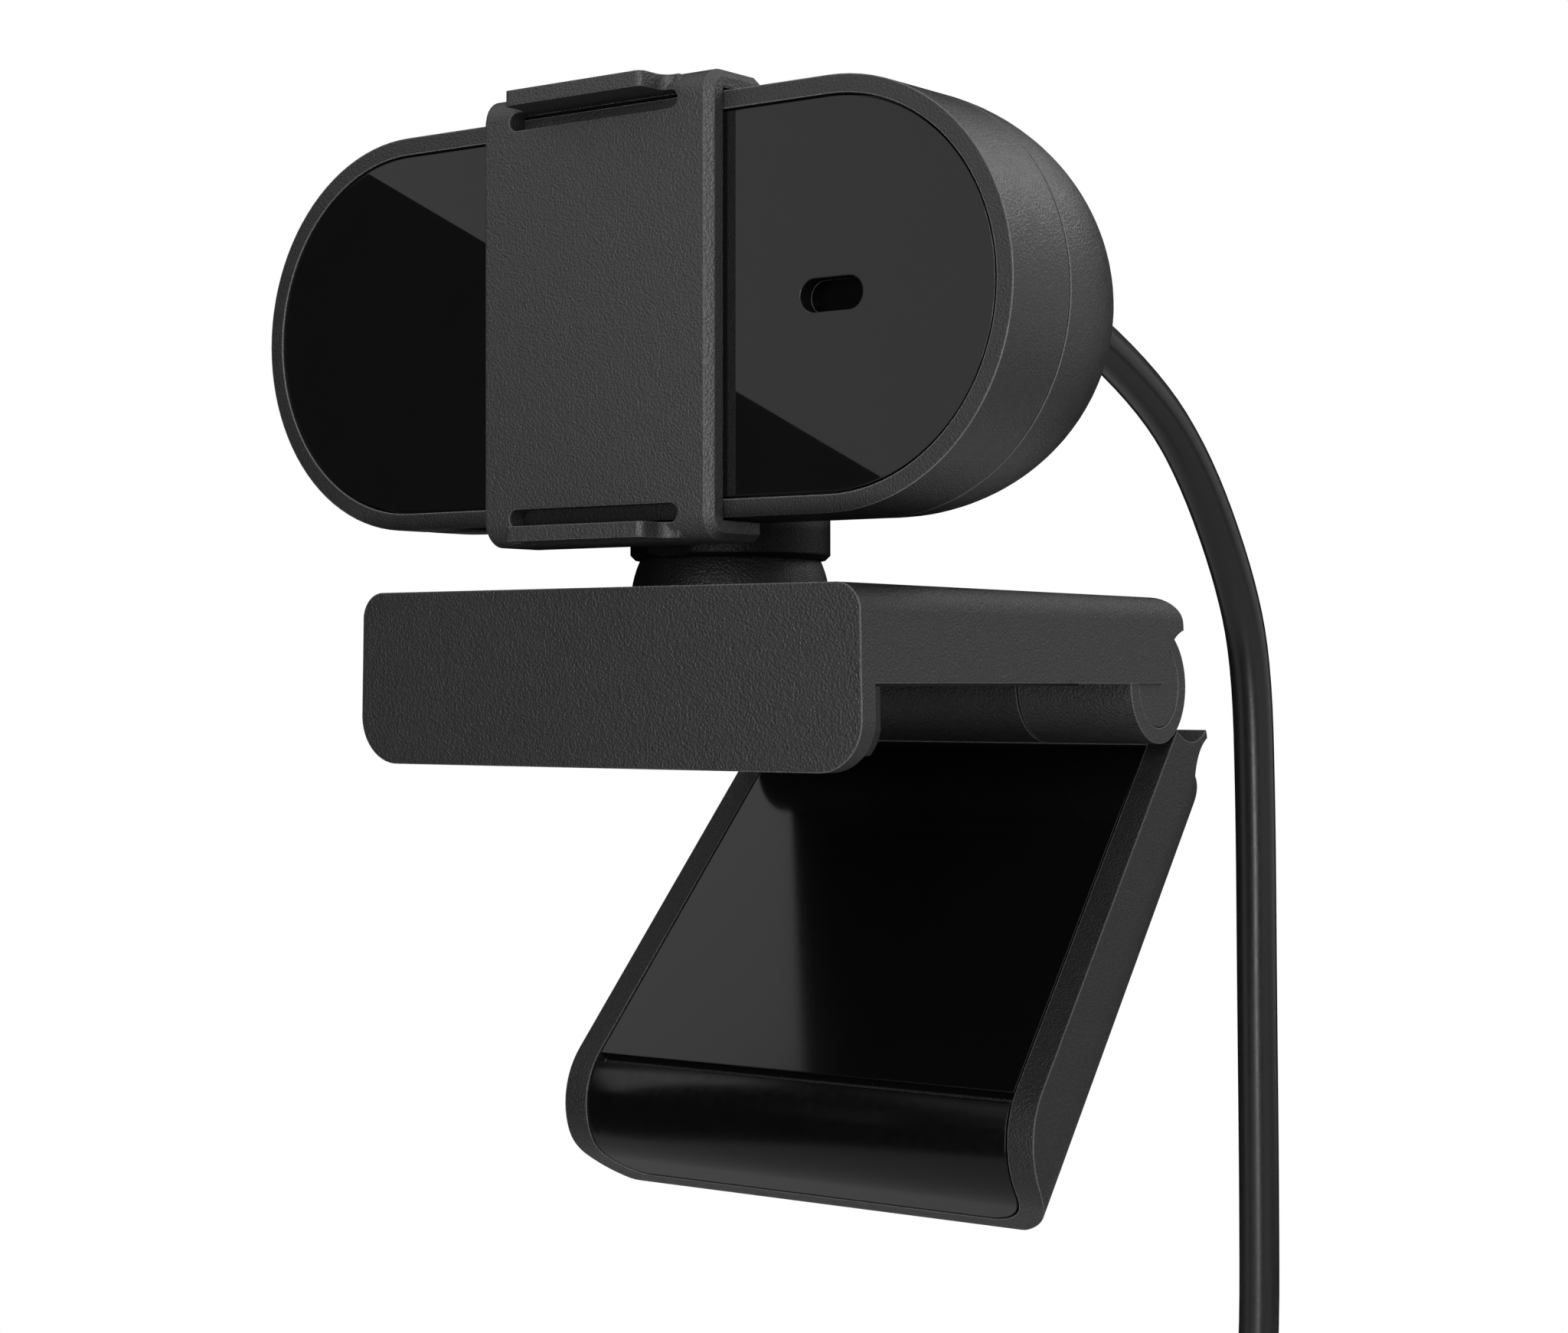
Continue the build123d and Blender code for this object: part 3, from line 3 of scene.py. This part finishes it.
import bpy
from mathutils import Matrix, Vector


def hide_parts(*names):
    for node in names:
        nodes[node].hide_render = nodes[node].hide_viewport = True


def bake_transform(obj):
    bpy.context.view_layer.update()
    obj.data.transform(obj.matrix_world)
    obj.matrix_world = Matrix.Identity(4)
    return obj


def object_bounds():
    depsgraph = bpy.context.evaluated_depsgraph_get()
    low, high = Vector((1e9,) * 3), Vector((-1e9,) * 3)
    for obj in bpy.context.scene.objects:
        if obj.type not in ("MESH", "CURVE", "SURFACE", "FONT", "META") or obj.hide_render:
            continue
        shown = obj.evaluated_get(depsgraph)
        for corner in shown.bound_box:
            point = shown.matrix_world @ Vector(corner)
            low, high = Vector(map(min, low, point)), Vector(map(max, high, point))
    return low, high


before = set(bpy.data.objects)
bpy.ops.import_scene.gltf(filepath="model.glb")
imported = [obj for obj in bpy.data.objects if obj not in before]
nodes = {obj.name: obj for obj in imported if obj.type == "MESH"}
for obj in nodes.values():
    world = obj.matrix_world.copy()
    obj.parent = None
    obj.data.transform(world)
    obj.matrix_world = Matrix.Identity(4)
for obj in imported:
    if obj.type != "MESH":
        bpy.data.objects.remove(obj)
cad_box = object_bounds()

scene = bpy.context.scene
MM = 0.001

# Camera, at the photograph's angle: level with the clip's resting face, to the right
CAMERA_PLACE = (0.153866, -0.19676, 0.00027)
CAMERA_TURN = 37.0          # degrees
CAMERA_LENS = 68.7
CAMERA_SHIFT = 0.0105
CAMERA_NEAR = 0.01
SENSOR_WIDTH = 36.0

# Cord, in millimetres, along the CAD source's route
CORD_D = 4.3
CORD_START = (0.0, 23.71, 35.02)
CORD_BENDS = [
    (0.0, 33.1, 37.01),
    (0.0, 51.6, 37.2),
    (0.0, 69.0, 30.2),
    (0.0, 78.5, 23.2),
    (0.0, 87.1, 12.0),
    (0.0, 91.2, 2.5),
    (0.0, 92.1, -13.7),
    (0.0, 92.4, -32.7),
    (0.0, 92.9, -53.7),
    (0.0, 93.0, -73.7),
    (-1.2, 92.0, -87.7),
    (-4.6, 87.5, -102.7),
    (-7.35, 79.5, -116.7),
]
CORD_END = (-7.35, 70.5, -127.4)
COIL_RADIUS = 25.15
COIL_PITCH = 5.2
LAYER_STEP = 4.9
LAYER_QUARTERS = (7, 7, 7, 5)   # quarter turns in each layer
CLIMB_QUARTERS = 2          # quarter turns from one layer to the next
POINTS_PER_QUARTER = 4
FIRST_COIL_POINT = 2        # the route's own end is point 0
TAIL_LEAD = 2.0
TAIL_OUT = 14.6
TAIL_DROP = 17.0
SHORT_WAY = 0.01            # quarter turns, to read a direction

# Cord's spline, which is quadratic
SPLINE_ORDER = 3
SPLINE_STEPS = 6
TUBE_STEPS = 5
OWN_SHARE = 0.75            # of a control point where the line is nearest to it

# Materials. Scales are in features per metre, and heights and radii in metres.
NOISE_DETAIL = 2.0
NOISE_LOW, NOISE_HIGH = 0.3, 0.7        # where most of a noise texture's values lie
MOULD_GRAIN = 5200
SOFT_SAMPLES = 4
EDGE_HIGHLIGHT_SAMPLES = 6
EDGE_LIKENESS, FACE_LIKENESS = 0.8, 0.97    # rounded normal beside the face's own, as a cosine
COLLAR_SHADE_TOP = (0.0128, 0.0145)           # heights over which the painted shade on the collar under the head ends

# Stage, in metres
FLOOR_GAP = 0.004           # floor below the hanging plug
FLOOR_RADIUS = 0.55
FLOOR_SIDES = 96
FLOOR_FADE = 0.55           # share of the radius at which the floor starts to fade
HEAD = (0, 0, 0.02)         # where most lamps point
WORLD_LIGHT = 0.3           # the white world as a lamp
WORLD_SHOWN = 1.0           # and as it is seen and mirrored


# Camera

camera = bpy.data.objects.new("camera", bpy.data.cameras.new("camera"))
scene.collection.objects.link(camera)
camera.location = CAMERA_PLACE
camera.rotation_euler = (math.radians(90), 0, math.radians(CAMERA_TURN))
camera.data.sensor_fit = "HORIZONTAL"
camera.data.sensor_width = SENSOR_WIDTH
camera.data.lens = CAMERA_LENS
camera.data.shift_y = CAMERA_SHIFT
camera.data.clip_start = CAMERA_NEAR
scene.camera = camera
scene.view_settings.view_transform = "Standard"


# Cord: one smooth line through the route, the coil and the tail

entry = Vector(CORD_END) - Vector(CORD_BENDS[-1])
entry_angle = math.atan2(-entry.y, entry.z)
outer_turn = COIL_RADIUS + LAYER_QUARTERS[0] / 4 * COIL_PITCH / 2
coil_y = CORD_END[1] - outer_turn * math.cos(entry_angle)
coil_z = CORD_END[2] - outer_turn * math.sin(entry_angle)


def eased(share):
    return share * share * (3 - 2 * share)


def coil_place(quarter):
    """Radius and x after some quarter turns, as in the CAD source.

    The layers wind inwards and outwards by turns, with a climb between them.
    """
    start, x, radius, way = 0.0, CORD_END[0], outer_turn, -COIL_PITCH / 4
    for count in LAYER_QUARTERS[:-1]:
        if quarter <= start + count:
            break
        radius += way * count
        start += count
        if quarter <= start + CLIMB_QUARTERS:
            share = (quarter - start) / CLIMB_QUARTERS
            overshoot = way * CLIMB_QUARTERS * share * (1 - share)
            return radius + overshoot, x + LAYER_STEP * eased(share)
        start += CLIMB_QUARTERS
        x += LAYER_STEP
        way = -way
    return radius + way * (quarter - start), x


def coil_point(quarter, stretch=1.0):
    radius, x = coil_place(quarter)
    angle = entry_angle + quarter * math.pi / 2
    y = coil_y + stretch * radius * math.cos(angle)
    z = coil_z + stretch * radius * math.sin(angle)
    return Vector((x, y, z))


# The spline runs inside control points on a circle, so the coil's stand a little out.
point_angle = math.pi / 2 / POINTS_PER_QUARTER
stand_out = 1 / (OWN_SHARE + (1 - OWN_SHARE) * math.cos(point_angle))
quarters = sum(LAYER_QUARTERS) + CLIMB_QUARTERS * (len(LAYER_QUARTERS) - 1)
coil = [
    coil_point(k / POINTS_PER_QUARTER, stand_out)
    for k in range(FIRST_COIL_POINT, quarters * POINTS_PER_QUARTER)
]
coil_end = coil_point(quarters)
way_out = (coil_end - coil_point(quarters - SHORT_WAY)).normalized()
tail_turn = coil_end + way_out * (TAIL_OUT / -way_out.y)
tail_end = coil_end + Vector((0, -TAIL_OUT, -TAIL_DROP - TAIL_OUT))
plug_top = tail_end - Vector((0, 0, CORD_D))
route = [Vector(p) for p in (CORD_START, *CORD_BENDS, CORD_END)]
route += coil + [coil_end + way_out * TAIL_LEAD, tail_turn, tail_end, plug_top]


def spline_mesh(name, points, bevel):
    """The mesh of a smooth curve: its line, or with a bevel a closed tube."""
    curve = bpy.data.curves.new(name, "CURVE")
    curve.dimensions = "3D"
    curve.resolution_u = SPLINE_STEPS
    curve.bevel_depth = bevel
    curve.bevel_resolution = TUBE_STEPS
    curve.use_fill_caps = bevel > 0
    spline = curve.splines.new("NURBS")
    spline.points.add(len(points) - 1)
    for point, place in zip(spline.points, points):
        point.co = (*(place * MM), 1)
    spline.order_u = SPLINE_ORDER
    spline.use_endpoint_u = True
    made = bpy.data.objects.new(name, curve)
    scene.collection.objects.link(made)
    bpy.context.view_layer.update()
    mesh = bpy.data.meshes.new_from_object(made)
    bpy.data.objects.remove(made)
    return mesh


line = spline_mesh("cord_line", route, 0)
bpy.data.meshes.remove(line)
cord = bpy.data.objects.new("cord", spline_mesh("cord_tube", route, CORD_D / 2 * MM))
scene.collection.objects.link(cord)
cord.data.shade_smooth()
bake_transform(cord)
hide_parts("usb_cable", "cable_coil")


# Materials

class Look:
    """A material with its Principled shader and short ways to add detail to it."""

    def __init__(self, name, colour, roughness, **values):
        self.material = bpy.data.materials.new(name)
        self.material.use_nodes = True
        self.tree = self.material.node_tree
        self.shader = self.tree.nodes["Principled BSDF"]
        self.place = self.add("ShaderNodeTexCoord").outputs["Object"]
        self.normal = None
        self.set("Base Color", (*colour, 1))
        self.set("Roughness", roughness)
        for socket, value in values.items():
            self.set(socket.replace("_", " "), value)

    def add(self, kind, **settings):
        node = self.tree.nodes.new(kind)
        for key, value in settings.items():
            setattr(node, key, value)
        return node

    def set(self, socket, value):
        self.shader.inputs[socket].default_value = value

    def join(self, source, target):
        self.tree.links.new(source, target)

    def drive(self, socket, source):
        self.join(source, self.shader.inputs[socket])

    def noise(self, scale):
        node = self.add("ShaderNodeTexNoise")
        node.inputs["Scale"].default_value = scale
        node.inputs["Detail"].default_value = NOISE_DETAIL
        self.join(self.place, node.inputs["Vector"])
        return node.outputs["Fac"]

    def spread(self, source, low, high, start=NOISE_LOW, end=NOISE_HIGH):
        """Values from low to high, as the source goes from start to end."""
        node = self.add("ShaderNodeMapRange")
        node.inputs["From Min"].default_value = start
        node.inputs["From Max"].default_value = end
        node.inputs["To Min"].default_value = low
        node.inputs["To Max"].default_value = high
        self.join(source, node.inputs["Value"])
        return node.outputs["Result"]

    def rounded(self, radius, samples):
        """The normal with the edges rounded off."""
        bevel = self.add("ShaderNodeBevel", samples=samples)
        bevel.inputs["Radius"].default_value = radius
        return bevel.outputs["Normal"]

    def mottle(self, first, second, scale):
        """Base colour that drifts between two tones."""
        mix = self.add("ShaderNodeMix", data_type="RGBA")
        mix.inputs["A"].default_value = (*first, 1)
        mix.inputs["B"].default_value = (*second, 1)
        self.join(self.noise(scale), mix.inputs["Factor"])
        self.drive("Base Color", mix.outputs["Result"])
        return self

    def tint(self, colour, share):
        """A second colour over the mottled base, by a share from 0 to 1."""
        mix = self.add("ShaderNodeMix", data_type="RGBA")
        mix.inputs["B"].default_value = (*colour, 1)
        self.join(self.shader.inputs["Base Color"].links[0].from_socket, mix.inputs["A"])
        self.join(share, mix.inputs["Factor"])
        self.drive("Base Color", mix.outputs["Result"])

    def worn(self, low, high, scale):
        """Roughness that drifts between two values."""
        self.drive("Roughness", self.spread(self.noise(scale), low, high))
        return self

    def painted_edge_highlights(self, radius, colour):
        """Painted highlights: a lighter tone along the edges, where the rounded normal leaves
        the face's own.
        """
        likeness = self.add("ShaderNodeVectorMath", operation="DOT_PRODUCT")
        self.join(self.rounded(radius, EDGE_HIGHLIGHT_SAMPLES), likeness.inputs[0])
        self.join(self.add("ShaderNodeNewGeometry").outputs["Normal"], likeness.inputs[1])
        edge_highlight = self.spread(likeness.outputs["Value"], 1, 0, EDGE_LIKENESS, FACE_LIKENESS)
        self.tint(colour, edge_highlight)
        return self

    def painted_shade_below(self, heights, colour, specular):
        """Painted shade: a darker and duller tone that ends between two heights, for the collar
        of a piece under its head.
        """
        split = self.add("ShaderNodeSeparateXYZ")
        self.join(self.place, split.inputs[0])
        height = split.outputs["Z"]
        self.tint(colour, self.spread(height, 1, 0, *heights))
        self.drive("Specular IOR Level", self.spread(height, *specular, *heights))
        return self

    def soft_edges(self, radius):
        """Edges shaded as if rounded."""
        self.normal = self.rounded(radius, SOFT_SAMPLES)
        self.drive("Normal", self.normal)
        return self

    def grain(self, scale, height):
        """Fine moulded texture."""
        bump = self.add("ShaderNodeBump")
        bump.inputs["Distance"].default_value = height
        self.join(self.noise(scale), bump.inputs["Height"])
        if self.normal:
            self.join(self.normal, bump.inputs["Normal"])
        self.normal = bump.outputs["Normal"]
        self.drive("Normal", self.normal)
        return self

    def on(self, *names):
        for name in names:
            piece = nodes.get(name) or bpy.data.objects[name]
            piece.data.materials.clear()
            piece.data.materials.append(self.material)


def grey(level, blue=0.0):
    """A grey with a trace of blue."""
    return (level, level, level + blue)


look = Look("clip_plastic", grey(0.009, 0.0004), 0.46, Specular_IOR_Level=0.35)
look.mottle(grey(0.0085, 0.0004), grey(0.0105, 0.0004), scale=400)
# The lighter edges here are painted highlights
look.worn(0.43, 0.49, scale=900).painted_edge_highlights(0.00022, grey(0.1, 0.002))
look.soft_edges(0.0003).grain(MOULD_GRAIN, height=0.00013)
look.on("clip_body", "clip_plate", "hinge_caps")

# A darker, duller copy of the clip's plastic, as painted shade on the leg
look = Look("leg_plastic_shaded", grey(0.006, 0.0003), 0.46, Specular_IOR_Level=0.25)
look.mottle(grey(0.0055, 0.0003), grey(0.0068, 0.0003), scale=400)
# The lighter edges here are painted highlights
look.worn(0.43, 0.49, scale=900).painted_edge_highlights(0.00022, grey(0.1, 0.002))
look.soft_edges(0.0003).grain(MOULD_GRAIN, height=0.00013)
look.on("leg_shell")

look = Look("cover_plastic", grey(0.013, 0.0004), 0.46, Specular_IOR_Level=0.4)
look.mottle(grey(0.012, 0.0004), grey(0.014, 0.0004), scale=400)
# The lighter edges here are painted highlights
look.worn(0.43, 0.49, scale=900).painted_edge_highlights(0.0002, grey(0.06, 0.001))
look.soft_edges(0.00025).grain(MOULD_GRAIN, height=0.00011)
look.on("privacy_cover")

look = Look("neck_plastic", grey(0.004, 0.0002), 0.46, Specular_IOR_Level=0.25)
look.mottle(grey(0.003, 0.0002), grey(0.005, 0.0002), scale=400)
look.worn(0.42, 0.52, scale=900)
look.soft_edges(0.0002).grain(MOULD_GRAIN, height=0.0001)
look.on("swivel_dome")

look = Look("housing_plastic", grey(0.01, 0.0004), 0.4, Specular_IOR_Level=0.35)
look.mottle(grey(0.0095, 0.0004), grey(0.0115, 0.0004), scale=300)
# The lighter edges here are painted highlights
look.worn(0.36, 0.44, scale=700).painted_edge_highlights(0.00022, grey(0.12, 0.002))
# The collar under the head gets painted shade, darker and duller below these heights
look.painted_shade_below(COLLAR_SHADE_TOP, grey(0.002, 0.0001), specular=(0.1, 0.35))
look.soft_edges(0.00025).grain(MOULD_GRAIN, height=0.00008)
look.on("front_housing", "rear_shell")

look = Look("face_gloss", grey(0.003, 0.0001), 0.014, Specular_IOR_Level=0.35)
look.mottle(grey(0.0028, 0.0001), grey(0.0034, 0.0001), scale=200)
look.worn(0.008, 0.02, scale=2500).soft_edges(0.00015)
look.on("face_panel")

look = Look("leg_gloss", grey(0.0012, 0.0001), 0.11, Specular_IOR_Level=0.35)
look.mottle(grey(0.001, 0.0001), grey(0.0016, 0.0001), scale=200)
look.worn(0.1, 0.13, scale=2500).soft_edges(0.00015)
look.on("leg_panel")

look = Look("foot_rubber", grey(0.0015, 0.0001), 0.21, Specular_IOR_Level=0.16)
look.mottle(grey(0.001, 0.0001), grey(0.002, 0.0001), scale=300)
look.worn(0.18, 0.24, scale=1500).soft_edges(0.0002)
look.on("foot_pad")

look = Look("pad_rubber", grey(0.004, 0.0002), 0.6, Specular_IOR_Level=0.2)
look.mottle(grey(0.003, 0.0002), grey(0.005, 0.0002), scale=300)
look.worn(0.55, 0.68, scale=1500).soft_edges(0.0002).grain(4000, height=0.00002)
look.on("rest_pad", "lip_pad")

look = Look("cord_jacket", grey(0.005, 0.0002), 0.33, Specular_IOR_Level=0.25)
look.mottle(grey(0.004, 0.0002), grey(0.006, 0.0002), scale=250)
look.worn(0.3, 0.36, scale=800).grain(2500, height=0.00001)
look.on("cord", "cable_grommet", "plug_grip")

look = Look("steel", (0.56, 0.56, 0.58), 0.3, Metallic=1.0)
look.worn(0.22, 0.4, scale=3000).soft_edges(0.0001)
look.on("plate_screws", "hinge_pin", "swivel_retainer", "swivel_washer", "retainer_screws")
look.on("board_screws", "neck_stud", "ball_washer", "spring_washer", "stud_nut", "plug_shell")

look = Look("bush_plastic", (0.55, 0.52, 0.45), 0.4)
look.worn(0.35, 0.5, scale=900)
look.on("friction_bushes")

look = Look("tie_strap", grey(0.012, 0.001), 0.7)
look.mottle(grey(0.01, 0.001), grey(0.016, 0.001), scale=900)
look.grain(3000, height=0.00005)
look.on("cable_tie")

look = Look("inner_plastic", grey(0.012, 0.001), 0.45)
look.mottle(grey(0.01, 0.001), grey(0.015, 0.001), scale=500).worn(0.4, 0.5, scale=900)
look.on("lens_barrel", "lens_holder", "board_connector", "plug_tongue", "microphones")

glass = dict(Transmission_Weight=1.0, IOR=1.5, Specular_IOR_Level=0.3)
look = Look("lens_glass", (0.16, 0.16, 0.22), 0.01, **glass)
look.worn(0.005, 0.02, scale=2000)
look.on("lens_window", "lens_glass")

look = Look("sensor", (0.03, 0.02, 0.05), 0.15)
look.mottle((0.02, 0.02, 0.05), (0.05, 0.02, 0.06), scale=2000)
look.on("image_sensor")

look = Look("board", (0.01, 0.06, 0.025), 0.3)
look.mottle((0.008, 0.05, 0.02), (0.012, 0.07, 0.03), scale=1500)
look.on("main_board")

look = Look("smoked_plastic", grey(0.0004), 0.3, Specular_IOR_Level=0.02)
look.mottle(grey(0.0003), grey(0.0005), scale=800).worn(0.25, 0.35, scale=900)
look.on("light_pipe", "status_led")

look = Look("gold", (0.75, 0.5, 0.18), 0.25, Metallic=1.0)
look.worn(0.2, 0.35, scale=2500)
look.on("plug_contacts")


# Floor, light and background

def stage_mesh(name, corners, material):
    """A flat piece of the stage."""
    mesh = bpy.data.meshes.new(name)
    mesh.from_pydata(corners, [], [list(range(len(corners)))])
    mesh.materials.append(material)
    made = bpy.data.objects.new(name, mesh)
    scene.collection.objects.link(made)
    return made


def floor():
    """A pale disc below the plug, which fades into the white background at its edge."""
    pale = Look("floor", grey(0.8), 0.9, Specular_IOR_Level=0.0)
    pale.mottle(grey(0.79), grey(0.81), scale=6)
    reach = pale.add("ShaderNodeVectorMath", operation="LENGTH")
    pale.join(pale.place, reach.inputs[0])
    fade = pale.add("ShaderNodeMixShader")
    pale.join(pale.spread(reach.outputs["Value"], 0, 1, FLOOR_FADE, 1), fade.inputs["Fac"])
    pale.join(pale.shader.outputs[0], fade.inputs[1])
    pale.join(pale.add("ShaderNodeEmission").outputs[0], fade.inputs[2])
    pale.join(fade.outputs[0], pale.tree.nodes["Material Output"].inputs["Surface"])
    turns = [2 * math.pi * k / FLOOR_SIDES for k in range(FLOOR_SIDES)]
    rim = [(math.cos(a), math.sin(a), 0) for a in turns]
    made = stage_mesh("floor", rim, pale.material)
    made.location = (0, 0, cad_box[0][2] - FLOOR_GAP)
    made.scale = (FLOOR_RADIUS, FLOOR_RADIUS, 1)


def glow(name, strength):
    """A white material that only shines."""
    material = bpy.data.materials.new(name)
    material.use_nodes = True
    tree = material.node_tree
    tree.nodes.clear()
    out = tree.nodes.new("ShaderNodeOutputMaterial")
    emission = tree.nodes.new("ShaderNodeEmission")
    emission.inputs["Strength"].default_value = strength
    tree.links.new(emission.outputs[0], out.inputs["Surface"])
    return material


def card(name, corners, strength=0.0):
    """A studio card, in millimetres, that only reflections see: black at strength 0."""
    made = stage_mesh(name, [Vector(c) * MM for c in corners], glow(name, strength))
    made.visible_camera = False
    made.visible_diffuse = False
    made.visible_shadow = False
    made.visible_transmission = False


def across(x, outline):
    """Corners in a plane across x, from their y and z."""
    return [(x, y, z) for y, z in outline]


def upright(first, second, top, bottom):
    """Corners of an upright rectangle between two places, from their x and y."""
    return [(*first, top), (*second, top), (*second, bottom), (*first, bottom)]


def softbox(name, place, aim, size, power):
    data = bpy.data.lights.new(name, "AREA")
    data.shape = "RECTANGLE"
    data.size, data.size_y = size
    data.energy = power
    made = bpy.data.objects.new(name, data)
    scene.collection.objects.link(made)
    made.location = place
    made.rotation_euler = (Vector(aim) - Vector(place)).to_track_quat("-Z", "Y").to_euler()


floor()

# Black on the left, which the gloss face shows as its dark half
LEFT_CARD = [
    (-20, 65), (-160, 25), (-160, 14), (-105, 12),
    (-105, -30), (-160, -30), (-160, -100), (-20, -100),
]
card("left_card", across(-70, LEFT_CARD))
# Black for the foot's middle, and white for the sheen at its top
FOOT_SHEEN = [(1, -28), (-17, -4), (-17, -14), (-5, -35)]
card("foot_card", upright((-25, -45), (-25, -95), -13, -60))
card("foot_sheen", across(-30, FOOT_SHEEN), strength=2.2)
# Black beside the camera
card("camera_card", upright((280, -414), (453, -211), 200, -200))
# Black round the far side, which keeps the outlines dark
card("side_card", upright((-590, 104), (-544, -254), 300, -300))
card("back_card", upright((-104, 590), (-590, 104), 900, -300))
card("rim_card", upright((145, 582), (-104, 590), 340, -300))
card("low_card", upright((560, 230), (145, 582), -120, -500))

softbox("strip_light", (0.26, -0.66, 0.15), HEAD, (0.2, 0.7), power=1.6)
softbox("cord_light", (0.33, -0.64, 0.1), (0, 0.09, 0), (0.05, 0.6), power=5.5)
softbox("rim_light", (0.28, 0.62, 0.52), HEAD, (0.3, 0.3), power=1.2)
softbox("top_light", (0.1, -0.1, 0.8), HEAD, (0.7, 0.7), power=2.5)
softbox("side_light", (0.8, -0.15, 0.3), HEAD, (0.4, 0.6), power=0.6)

world = bpy.data.worlds.new("white")
scene.world = world
world.use_nodes = True
tree = world.node_tree
path = tree.nodes.new("ShaderNodeLightPath")
shown = path.outputs["Is Camera Ray"]
for ray in ("Is Glossy Ray", "Is Transmission Ray"):
    either = tree.nodes.new("ShaderNodeMath")
    either.operation = "MAXIMUM"
    tree.links.new(shown, either.inputs[0])
    tree.links.new(path.outputs[ray], either.inputs[1])
    shown = either.outputs[0]
level = tree.nodes.new("ShaderNodeMapRange")
level.inputs["To Min"].default_value = WORLD_LIGHT
level.inputs["To Max"].default_value = WORLD_SHOWN
tree.links.new(shown, level.inputs["Value"])
background = tree.nodes["Background"]
background.inputs["Color"].default_value = (1, 1, 1, 1)
tree.links.new(level.outputs["Result"], background.inputs["Strength"])
